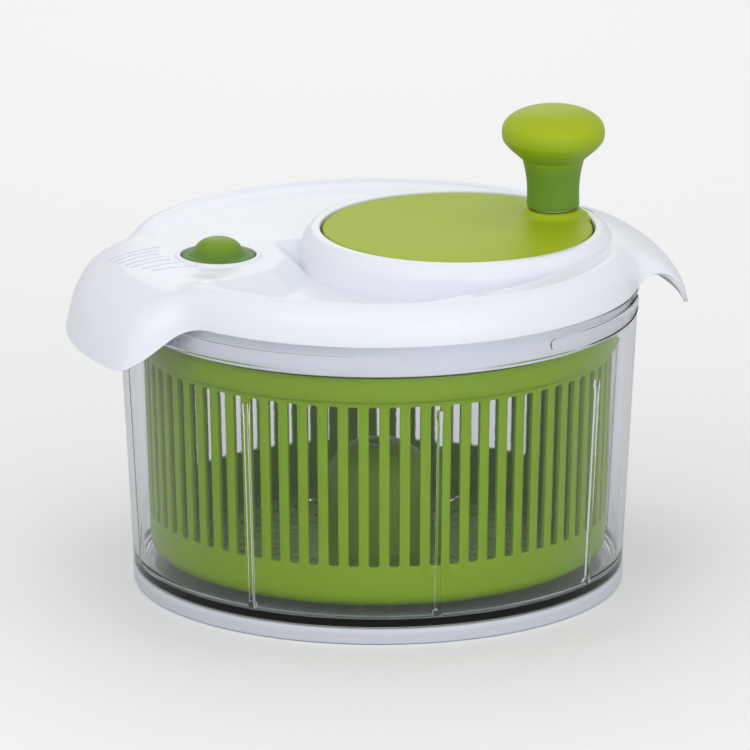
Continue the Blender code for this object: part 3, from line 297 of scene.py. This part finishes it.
lidSet = {
    "columns": 540, "wall": 2.2, "deck": 156.2, "recessFloor": 146.0,
    "recessCentre": (-7.0, -10.0), "recessRadius": 91.0, "outerSlope": 7.0, "islandSlope": 15.0,
    "island": [(-22, 24), (-46, 20), (-47, -6), (-59, -27), (-95, -46), (-150, -46), (-150, 150),
               (150, 150), (150, 24)],
    "housingRadius": 71.0, "housingTop": 163.2, "wellRadius": 62.8, "wellFloor": 148.0,
    "button": (-75.0, 0.0), "cupRadius": 17.5, "cupFloor": 145.8,
    "rightLugSize": 0.82, "grooveRadius": 0.95, "grooveDepth": 1.75,
}
rimPath = [(104, 158.3), (109, 159.2), (113, 158.3), (116, 156.0), (118.4, 152.2), (119.6, 147.3),
           (120, 144.0), (120, 141.3)]
leftPath = [(100, 156.4), (107, 155.9), (114, 154.9), (121, 153.0), (128, 149.2), (134, 143.5),
            (139.5, 133.0), (143, 119.0)]
rightPath = [(104, 158.0), (110, 158.2), (116, 157.3), (122, 155.2), (128, 151.5), (134, 146.0),
             (139.5, 138.0), (142.5, 128.0)]
# how far the lug's form has taken over at an angle from its middle, and how much of its path is used
closedSide = {"angle": [0, 18.5, 22.0, 25.2, 26.8, 28.4, 31.0, 34.5], "reach": [1, 1, 1, 1, 1, 1, 1, 1],
              "form": [1, 1, 0.97, 0.70, 0.48, 0.24, 0.08, 0]}
openSide = {"angle": [0, 14, 17, 19.5, 22, 25, 28, 34], "reach": [1, 1, 0.97, 0.86, 0.72, 0.62, 0.56, 0.5],
            "form": [1, 1, 1, 1, 0.95, 0.6, 0.2, 0]}


def polygonDistance(x, y, corners):
    # below zero inside
    far = np.full(x.shape, 1e9)
    inside = np.zeros(x.shape, bool)
    for (ax, ay), (bx, by) in zip(corners, corners[1:] + corners[:1]):
        ex, ey = bx - ax, by - ay
        t = np.clip(((x - ax) * ex + (y - ay) * ey) / (ex * ex + ey * ey), 0, 1)
        far = np.minimum(far, np.hypot(x - ax - ex * t, y - ay - ey * t))
        crosses = ((ay > y) != (by > y)) & (x < ex * (y - ay) / ((by - ay) or 1e-9) + ax)
        inside ^= crosses
    return np.where(inside, -far, far)


def alongPath(path, t):
    # a smooth point at t, 0 to 1, along a list of points
    pts = np.array(path, float)
    pts = np.vstack([2 * pts[0] - pts[1], pts, 2 * pts[-1] - pts[-2]])
    place = np.clip(t, 0, 1) * (len(path) - 1)
    i = np.minimum(place.astype(int), len(path) - 2)
    u = (place - i)[..., None]
    a, b, c, d = pts[i], pts[i + 1], pts[i + 2], pts[i + 3]
    return 0.5 * (2 * b + (c - a) * u + (2 * a - 5 * b + 4 * c - d) * u ** 2
                  + (3 * b - a - 3 * c + d) * u ** 3)


def deckHeight(x, y):
    radius = np.hypot(x, y)
    height = lidSet["deck"] + 2.1 * smooth((radius - 88.0) / 16.0)
    leftGrip = smooth((-x - 55.0) / 30.0) * smooth((45.0 - np.abs(y)) / 18.0)
    height = height - 1.9 * leftGrip * smooth((radius - 88.0) / 16.0)
    cx, cy = lidSet["recessCentre"]
    circle = np.hypot(x - cx, y - cy) - lidSet["recessRadius"]
    island = polygonDistance(x, y, lidSet["island"])
    sink = smooth(-circle / lidSet["outerSlope"]) * smooth(island / lidSet["islandSlope"])
    return height - (height - lidSet["recessFloor"]) * sink


def lidSheet():
    columns, rimSteps = lidSet["columns"], 34
    angle = 2 * np.pi * np.arange(columns) / columns
    radii = np.concatenate([[0.01], np.arange(2.0, 100.0, 1.0)])
    rows = [np.stack([r * np.cos(angle), r * np.sin(angle),
                      deckHeight(r * np.cos(angle), r * np.sin(angle))], -1) for r in radii]
    form = np.zeros(columns)
    reach = np.ones(columns)
    left = np.cos(angle) < 0
    turned = np.degrees(np.where(left, np.pi - angle, (angle + np.pi) % (2 * np.pi) - np.pi))
    for mask, closedBelow in ((left, True), (~left, False)):
        for below in (True, False):
            side = mask & ((np.sin(angle) < 0) == below)
            table = closedSide if below == closedBelow else openSide
            size = 1.0 if closedBelow else lidSet["rightLugSize"]
            form[side] = np.interp(np.abs(turned[side]) / size, table["angle"], table["form"])
            reach[side] = np.interp(np.abs(turned[side]) / size, table["angle"], table["reach"])
    for _ in range(4):  # takes the kinks out of both tables
        form = (np.roll(form, 1) + 2 * form + np.roll(form, -1)) / 4
        reach = (np.roll(reach, 1) + 2 * reach + np.roll(reach, -1)) / 4
    base = rows[-1]
    for step in range(1, rimSteps + 1):
        t = np.full(columns, step / rimSteps)
        rim = alongPath(rimPath, t)
        lug = np.where(left[:, None], alongPath(leftPath, t * reach), alongPath(rightPath, t * reach))
        point = rim * (1 - form[:, None]) + lug * form[:, None]
        blend = smooth(np.full(columns, step / 6.0))
        flatHeight = base[:, 2]
        height = flatHeight * (1 - blend) + point[:, 1] * blend
        rows.append(np.stack([point[:, 0] * np.cos(angle), point[:, 0] * np.sin(angle), height], -1))
    return np.array(rows)


def sheetSolid(name, rows, wall):
    # the sheet's normals give the inner face, and the outer edge is closed
    count, columns = rows.shape[:2]
    along = np.gradient(rows, axis=0)
    around = (np.roll(rows, -1, 1) - np.roll(rows, 1, 1))
    normal = np.cross(along, around)
    normal /= np.maximum(np.linalg.norm(normal, axis=2, keepdims=True), 1e-9)
    normal[0] = (0, 0, 1)
    inner = rows - normal * wall
    verts = [tuple(v) for v in rows.reshape(-1, 3)] + [tuple(v) for v in inner.reshape(-1, 3)]
    total = count * columns
    faces = []
    for r in range(count - 1):
        for c in range(columns):
            d = (c + 1) % columns
            quad = (r * columns + c, (r + 1) * columns + c, (r + 1) * columns + d, r * columns + d)
            faces.append(quad)
            faces.append(tuple(total + v for v in reversed(quad)))
    faces.append(tuple(reversed(range(columns))))
    faces.append(tuple(total + c for c in range(columns)))
    last = (count - 1) * columns
    for c in range(columns):
        d = (c + 1) % columns
        faces.append((last + d, last + c, total + last + c, total + last + d))
    return meshObject(name, verts, faces)


def makeLid():
    crank = (crankX, 0.0)
    outer, top, well = lidSet["housingRadius"], lidSet["housingTop"], lidSet["wellRadius"]
    floor, wall = lidSet["wellFloor"], lidSet["wall"]
    lid = sheetSolid("lid", lidSheet(), wall)
    combine(lid, revolve("wellCut", [(0, 130), (outer - 3, 130), (outer - 3, 170), (0, 170)], 240, crank))
    housing = rounded([(6.6, floor - wall), (well + wall, floor - wall, 1.0), (well + wall, 155.0),
                       (well + 5.6, 159.0, 2.0), (outer - 3.8, 156.0), (outer - 3.8, 143.4),
                       (outer + 2.2, 143.4),
                       (outer + 1.4, 148.0, 2.0), (outer, top - 4.6, 3.2), (well + 4.4, top, 2.6),
                       (well + 0.3, top - 0.2, 0.8), (well, floor, 1.2), (6.6, floor)])
    combine(lid, revolve("housing", housing, 240, crank), "UNION")
    skirt = rounded([(112.4, 126.0, 0.8), (114.8, 126.0, 0.8), (114.8, 145.5), (118.6, 145.5), (118.6, 149.0),
                     (112.4, 149.0)])
    combine(lid, revolve("skirt", skirt, 240), "UNION")
    spot, cup, cupFloor = lidSet["button"], lidSet["cupRadius"], lidSet["cupFloor"]
    collar = rounded([(0, cupFloor - wall), (cup + wall, cupFloor - wall, 1.0), (cup + 3.4, 155.4),
                      (cup + 1.6, 157.3, 1.2), (cup, 157.1, 0.6), (0, 157.1)])
    combine(lid, revolve("cup", collar, 96, spot), "UNION")
    combine(lid, revolve("cupInside", [(0, cupFloor), (cup, cupFloor), (cup, 175), (0, 175)], 96, spot))
    combine(lid, revolve("stemHole", [(0, 130), (3.2, 130), (3.2, 150), (0, 150)], 48, spot))
    cutGrooves(lid)
    lid.data.materials.clear()
    lid.data.materials.append(finishes["white_plastic"])
    smoothShade(lid, 38.0)
    seat(lid, "lid", "white_plastic", "lid_shell", "left_grip_lug", "right_grip_lug")


def cutGrooves(lid):
    # seven grip grooves beside the stop button, each following the lid's surface
    starts = [(-123, 18.5), (-122, 13.0), (-120.5, 7.5), (-118.5, 2.0), (-116.5, -3.5), (-113.5, -9.5),
              (-110, -15)]
    ends = [(-97, 21), (-99, 15.5), (-100, 10), (-99.5, 4.5), (-97.5, -1), (-94, -7), (-88, -14.5)]
    for start, end in zip(starts, ends):
        combine(lid, grooveBar(start, end, lidSet["grooveRadius"], lidSet["grooveDepth"]))


def surfaceHeight(lid, x, y):
    hit, spot, _, _ = lid.ray_cast(Vector((x, y, 200.0)) * mm, Vector((0, 0, -1)))
    return spot.z / mm if hit else 150.0


def grooveBar(start, end, radius, depth):
    lid = bpy.data.objects["lid"]
    steps = 14
    verts, faces = [], []
    length = hypot(end[0] - start[0], end[1] - start[1])
    ax, ay = (end[0] - start[0]) / length, (end[1] - start[1]) / length
    for step in range(steps + 1):
        t = step / steps
        x, y = start[0] + (end[0] - start[0]) * t, start[1] + (end[1] - start[1]) * t
        away = min(t, 1 - t) * length
        wide = radius * sqrt(max(0.12, 1 - max(0.0, 1 - away / radius) ** 2))
        level = surfaceHeight(lid, x, y)
        for side, height in ((-wide, level + 5), (-wide * 0.9, level - depth * 0.85), (0, level - depth),
                             (wide * 0.9, level - depth * 0.85), (wide, level + 5)):
            verts.append((x - ay * side, y + ax * side, height))
    for step in range(steps):
        for k in range(5):
            m = (k + 1) % 5
            faces.append((step * 5 + k, step * 5 + m, (step + 1) * 5 + m, (step + 1) * 5 + k))
    faces += [tuple(range(5)), tuple(reversed(range(steps * 5, steps * 5 + 5)))]
    return meshObject("groove", verts, faces)


makeLid()
print("lid made")

# crank disc, knob and stop button

discSet = {"radius": 61.9, "top": 162.7, "under": 160.3, "skirtFoot": 150.2, "skirt": 1.9}
knobPath = [(0, 214.0), (6, 213.7), (12, 212.7), (17, 210.9), (20.6, 208.6), (22.8, 206.0), (23.6, 203.2),
            (23.6, 200.4), (22.9, 198.0), (20.6, 195.2), (17.6, 192.4), (14.9, 190.0), (14.2, 189.1),
            (13.4, 186.0), (12.6, 182.0), (12.1, 177.0), (12.0, 172.0), (12.2, 167.4)]


def smoothPath(points, steps=5):
    t = np.linspace(0, 1, (len(points) - 1) * steps + 1)
    return [(max(0.0, float(r)), float(z)) for r, z in alongPath(points, t)]


def makeDisc():
    radius, top, under = discSet["radius"], discSet["top"], discSet["under"]
    foot, wall = discSet["skirtFoot"], discSet["skirt"]
    profile = rounded([(0, under), (radius - wall, under), (radius - wall, foot), (radius, foot, 0.4),
                       (radius, top - 0.2, 1.1), (radius - 3.0, top), (0, top)])
    disc = revolve("crankDisc", profile, 240, (crankX, 0.0))
    collar = rounded([(3.9, 161.0), (19.0, 161.0), (19.0, top + 0.02), (14.6, top + 0.5, 1.6),
                      (12.6, 165.9, 0.7), (3.9, 165.9)])
    combine(disc, revolve("knobCollar", collar, 96, knobSpot), "UNION")
    combine(disc, revolve("axleSpace", [(0, 140), (3.3, 140), (3.3, 161.9), (0, 161.9)], 48, (crankX, 0.0)))
    disc.data.materials.clear()
    disc.data.materials.append(finishes["bright_green_plastic"])
    smoothShade(disc, 38.0)
    seat(disc, "crank", "bright_green_plastic", "crank_disc")


def makeKnob():
    outside = smoothPath(knobPath)
    outside[-1] = (11.8, 167.1)
    inside = [(7.0, 167.1), (7.0, 199.6), (0, 199.6)]
    knob = revolve("knobGrip", outside + inside, 128, knobSpot, finishes["knob_green"], 30.0)
    seat(knob, "knob", "bright_green_plastic", "knob")


def makeButton():
    dome = smoothPath([(0, 165.0), (4, 164.7), (7.2, 163.6), (9.6, 161.8), (11.0, 159.8), (12.4, 158.2),
                       (14.2, 157.3), (15.6, 157.0)])
    lower = rounded([(16.6, 156.7, 0.5), (16.6, 152.6, 0.6), (3.0, 152.6), (3.0, 154.0), (0, 154.0)])
    button = revolve("stopButton", dome + lower, 96, lidSet["button"], finishes["button_green"])
    seat(button, "button", "bright_green_plastic", "stop_button")


makeDisc()
makeKnob()
makeButton()
print("crank, knob and button made")

# basket: one sheet with its slots left open, then given its wall

basketSet = {"slots": 72, "slotWidth": 4.7, "slotLow": 34.5, "slotHigh": 110.0, "wall": 2.2,
             "slotCorner": 0.9}


def wallRadius(height):
    return float(np.interp(height, [21.5, 34.5, 111.0, 113.0, 113.01, 124.0],
                           [104.56, 105.0, 107.6, 108.0, 109.4, 109.4]))


def makeBasket():
    slots, half = basketSet["slots"], basketSet["slotWidth"] / 2
    low, high = basketSet["slotLow"], basketSet["slotHigh"]
    pitch = 2 * pi / slots
    offsets = [-half, -half * 0.86, -half * 0.62, 0.0, half * 0.62, half * 0.86]  # across a slot, in mm
    gap = [0.0, 0.5]  # a rib's own columns, as a share of its width
    columns = []
    for index in range(slots):
        middle = pitch * index
        for offset in offsets:
            columns.append((middle + offset / 106.0, offset, True))
        ribStart, ribEnd = middle + half / 106.0, middle + pitch - half / 106.0
        for share in gap:
            columns.append((ribStart + (ribEnd - ribStart) * share, None, False))
    verts, faces = [], []
    grid = {}

    def vert(row, column, radius, height):
        key = (row, column)
        if key not in grid:
            a = columns[column][0]
            grid[key] = len(verts)
            verts.append((radius * cos(a), radius * sin(a), height))
        return grid[key]

    def bend(column):
        offset = columns[column][1]
        # how far a slot's end draws in at its sides, on small corners
        corner = basketSet["slotCorner"]
        past = abs(offset) - (half - corner) if offset is not None else corner
        return corner - sqrt(max(0.0, corner * corner - max(0.0, past) ** 2))

    rows = [(109.8, 124.0, 0), (109.8, 121.0, 0), (109.8, 117.0, 0), (109.8, 113.2, 0), (109.0, 112.3, 0),
            (107.7, 111.8, 0), (None, high, 1)]
    rows += [(None, high - half - (high - low - 2 * half) * s / 6, 2) for s in range(0, 7)]
    rows += [(None, low, 3), (None, 29.0, 0), (None, 24.5, 0), (104.4, 20.6, 0), (103.2, 17.9, 0),
             (100.8, 15.9, 0),
             (97.0, 14.2, 0), (92.0, 13.6, 0)]
    floorRadii = [90.0, 74.0, 71.0, 56.0, 53.0, 39.0, 30.0]
    rows += [(r, 13.5, 4) for r in floorRadii]
    rows += [(25.0, 15.4, 0), (23.0, 26.0, 0), (21.6, 40.0, 0), (20.3, 51.0, 0), (17.3, 57.0, 0),
             (12.0, 60.4, 0),
             (7.0, 61.5, 0), (4.7, 61.5, 0)]

    def rowPoint(r, column):
        radius, height, kind = rows[r]
        if kind == 1:
            height = height - bend(column)
        elif kind == 3:
            height = height + bend(column)
        return (radius if radius is not None else wallRadius(height)), height

    for r in range(len(rows) - 1):
        upper, lower = rows[r][2], rows[r + 1][2]
        inSlots = (upper, lower) == (2, 2) or (upper, lower) == (1, 2) or (upper, lower) == (2, 3)
        onFloor = upper == 4 and lower == 4
        for c in range(len(columns)):
            d = (c + 1) % len(columns)
            slotCell = columns[c][2]
            if inSlots and slotCell:
                continue
            radius = rows[r][0]
            if onFloor and slotCell and radius in (90.0, 71.0, 53.0) and (c // 8) % 2 == 0:
                continue
            if (upper, lower) in ((1, 2), (2, 3)):
                continue  # a rib's end rows meet at the same height
            faces.append((vert(r, c, *rowPoint(r, c)), vert(r + 1, c, *rowPoint(r + 1, c)),
                          vert(r + 1, d, *rowPoint(r + 1, d)), vert(r, d, *rowPoint(r, d))))
    # the ribs hang from the curved ends of the slots
    first = next(i for i, row in enumerate(rows) if row[2] == 2)
    last = max(i for i, row in enumerate(rows) if row[2] == 2)
    remap = {}
    for c in range(len(columns)):
        if (first, c) in grid and (first - 1, c) in grid:
            remap[grid[(first, c)]] = grid[(first - 1, c)]
        if (last, c) in grid and (last + 1, c) in grid:
            remap[grid[(last, c)]] = grid[(last + 1, c)]
    faces = [tuple(remap.get(v, v) for v in face) for face in faces]
    used = sorted({v for face in faces for v in face})
    order = {v: i for i, v in enumerate(used)}
    verts = [verts[v] for v in used]
    faces = [tuple(order[v] for v in face) for face in faces]
    basket = meshObject("basketShell", verts, faces, finishes["green_plastic"], 45.0)
    thick = basket.modifiers.new("wall", "SOLIDIFY")
    thick.thickness, thick.offset = basketSet["wall"] * mm, -1.0
    soft = basket.modifiers.new("softEdges", "BEVEL")
    soft.width, soft.segments, soft.limit_method, soft.angle_limit = 0.35 * mm, 2, "ANGLE", radians(50)
    bakeModifiers(basket)
    smoothShade(basket, 45.0)
    seat(basket, "basket", "green_plastic", "basket_wall", "basket_bend", "basket_floor")


makeBasket()
print("basket made")

# clear bowl with its inner ribs and post, and the ring it stands on

bowlSet = {"ribs": 8, "ribWidth": 2.4, "ribDepth": 1.8, "ramps": 4, "rampStart": -152.0, "rampTurn": 42.0,
           "rampLow": 131.3, "rampHigh": 136.4, "rimRadius": 118.7}


def makeBowl():
    profile = rounded([(0, 7.5), (104.8, 7.5), (105.8, 7.3), (105.8, 2.7, 0.5), (108.8, 2.7, 0.5),
                       (108.8, 7.3), (112.5, 7.5, 2.6), (118.7, 126.0, 6.0), (118.7, 127.9),
                       (119.3, 128.5, 0.3), (118.7, 129.1),
                       (118.7, 137.6), (119.6, 138.2, 0.5),
                       (119.6, 141.0, 0.9), (116.3, 141.0, 0.9), (116.3, 126.4, 5.0), (110.2, 13.5, 3.5),
                       (107.0, 10.5, 2.0), (14.0, 10.5, 2.0), (8.0, 44.0, 1.0), (0, 44.0)], 6)
    bowl = revolve("clearBowl", profile, 192)
    for index in range(bowlSet["ribs"]):
        combine(bowl, bowlRib(pi / 4 * index), "UNION")
    for index in range(bowlSet["ramps"]):
        combine(bowl, rimRamp(radians(bowlSet["rampStart"] + 360.0 / bowlSet["ramps"] * index)), "UNION")
    combine(bowl, revolve("pinSpace", [(0, 30), (2.5, 30), (2.5, 50), (0, 50)], 32))
    bowl.data.materials.clear()
    bowl.data.materials.append(finishes["clear_plastic"])
    smoothShade(bowl, 35.0)
    seat(bowl, "bowl", "clear_plastic", "outer_bowl")


def bowlRib(turn):
    half, depth = bowlSet["ribWidth"] / 2, bowlSet["ribDepth"]
    verts, faces = [], []
    stations = [(12.0, 1.5), (14.5, 1.5), (15.5, 1.0), (60.0, 1.0), (104.0, 1.0), (107.0, 1.35), (109.4, 1.2),
                (110.0, 0.6)]
    for height, swell in stations:
        face = float(np.interp(height, [13.5, 126.0], [110.2, 116.3]))
        for r, side in ((face + 1.2, -half * swell), (face - depth * swell * 0.7, -half * swell),
                        (face - depth * swell, 0.0), (face - depth * swell * 0.7, half * swell),
                        (face + 1.2, half * swell)):
            verts.append((r * cos(turn) - side * sin(turn), r * sin(turn) + side * cos(turn), height))
    n = 5
    for row in range(len(stations) - 1):
        for k in range(n):
            m = (k + 1) % n
            faces.append((row * n + k, row * n + m, (row + 1) * n + m, (row + 1) * n + k))
    top = (len(stations) - 1) * n
    faces += [tuple(reversed(range(n))), tuple(range(top, top + n))]
    return meshObject("bowlRib", verts, faces)


def rimRamp(start):
    # a low, round-ended ridge on the outside of the rim, for the lid's catches
    low, high, turn = bowlSet["rampLow"], bowlSet["rampHigh"], radians(bowlSet["rampTurn"])
    middle, half = (low + high) / 2, (high - low) / 2
    cap = half / bowlSet["rimRadius"]
    outline = [(start + turn * s / 40, low) for s in range(41)]
    outline += [(start + turn + cap * sin(pi * s / 12), middle - half * cos(pi * s / 12))
                for s in range(1, 12)]
    outline += [(start + turn * (1 - s / 40), high) for s in range(41)]
    outline += [(start - cap * sin(pi * s / 12), middle + half * cos(pi * s / 12)) for s in range(1, 12)]
    verts, faces = [], []
    for radius, inset in ((118.2, 0.0), (119.3, 0.0), (119.5, 0.35)):
        for a, z in outline:
            z = middle + (z - middle) * (1 - inset / half)
            verts.append((radius * cos(a), radius * sin(a), z))
    n = len(outline)
    for row in range(2):
        for k in range(n):
            m = (k + 1) % n
            faces.append((row * n + k, row * n + m, (row + 1) * n + m, (row + 1) * n + k))
    # both faces are closed by short strips across, from the lower edge to the upper one
    for base in (0, 2 * n):
        for k in range(40):
            faces.append((base + k, base + k + 1, base + 91 - k, base + 92 - k))
        faces.append(tuple(base + k for k in range(40, 53)))
        faces.append(tuple(base + k % n for k in range(92, 105)))
    return meshObject("rimRamp", verts, faces)


def makeRing():
    profile = rounded([(102.9, 0.0, 0.8), (112.4, 0.0, 1.0), (112.8, 5.4, 1.2), (112.2, 7.2, 0.6),
                       (109.1, 7.2),
                       (109.1, 2.4), (105.5, 2.4), (105.5, 7.2), (102.9, 7.2, 0.5)])
    ring = revolve("standRing", profile, 192, material=finishes["ring_plastic"])
    seat(ring, "bowl", "ring_plastic", "base_ring")


makeBowl()
makeRing()
print("bowl and ring made")

# floor, light and camera

stageSet = {"floor": 4.0, "target": (-1.36, 0.34, 94.7), "direction": (-0.2328, -0.9336, 0.2723),
            "distance": 5000.0, "lens": 523.2}


def floorMaterial():
    # seen directly the floor is near white, and it throws a little less light back up at the object
    material = finishMaterial("paleFloor", (1.0, 1.0, 1.0, 1.0), (0.8, 0.9), 0.0, bump=0.0)
    nodes, links = material.node_tree.nodes, material.node_tree.links
    shader = nodes["Principled BSDF"]
    path, mix = nodes.new("ShaderNodeLightPath"), nodes.new("ShaderNodeMix")
    mix.data_type = "RGBA"
    mix.inputs["A"].default_value = (0.72, 0.73, 0.75, 1.0)
    mix.inputs["B"].default_value = (1.0, 1.0, 1.0, 1.0)
    links.new(path.outputs["Is Camera Ray"], mix.inputs["Factor"])
    links.new(mix.outputs["Result"], shader.inputs["Base Color"])
    return material


def makeStage():
    size = stageSet["floor"]
    mesh = bpy.data.meshes.new("floor")
    corners = [(-size, -size, 0), (size, -size, 0), (size, size, 0), (-size, size, 0)]
    mesh.from_pydata(corners, [], [(0, 1, 2, 3)])
    floor = bpy.data.objects.new("floor", mesh)
    floor.location.z = -0.0002
    bpy.context.collection.objects.link(floor)
    mesh.materials.append(floorMaterial())


def softLight(name, spot, size, power):
    data = bpy.data.lights.new(name, "AREA")
    data.shape, data.size, data.energy = "DISK", size, power
    light = bpy.data.objects.new(name, data)
    light.location = spot
    light.rotation_euler = (Vector((0, 0, 0.08)) - Vector(spot)).to_track_quat("-Z", "Y").to_euler()
    bpy.context.collection.objects.link(light)


def makeCamera():
    data = bpy.data.cameras.new("camera")
    data.lens, data.sensor_width, data.clip_end = stageSet["lens"], 36.0, 50.0
    camera = bpy.data.objects.new("camera", data)
    target = Vector(stageSet["target"]) * mm
    camera.location = target + Vector(stageSet["direction"]).normalized() * stageSet["distance"] * mm
    camera.rotation_euler = (target - camera.location).to_track_quat("-Z", "Y").to_euler()
    bpy.context.collection.objects.link(camera)
    bpy.context.scene.camera = camera


world = bpy.data.worlds.new("studio")
world.use_nodes = True
world.node_tree.nodes["Background"].inputs["Color"].default_value = (1.0, 1.0, 1.0, 1.0)
world.node_tree.nodes["Background"].inputs["Strength"].default_value = 0.70
bpy.context.scene.world = world
bpy.context.scene.view_settings.view_transform = "Standard"
makeStage()
softLight("topLight", (-0.25, 0.1, 1.7), 1.6, 1.5)
softLight("keyLight", (-1.1, -1.2, 1.1), 1.2, 5.0)
softLight("frontLight", (0.5, -2.0, 0.45), 1.6, 11.0)
softLight("backLight", (0.3, 1.3, 0.9), 1.0, 2.0)
makeCamera()
print("stage made")
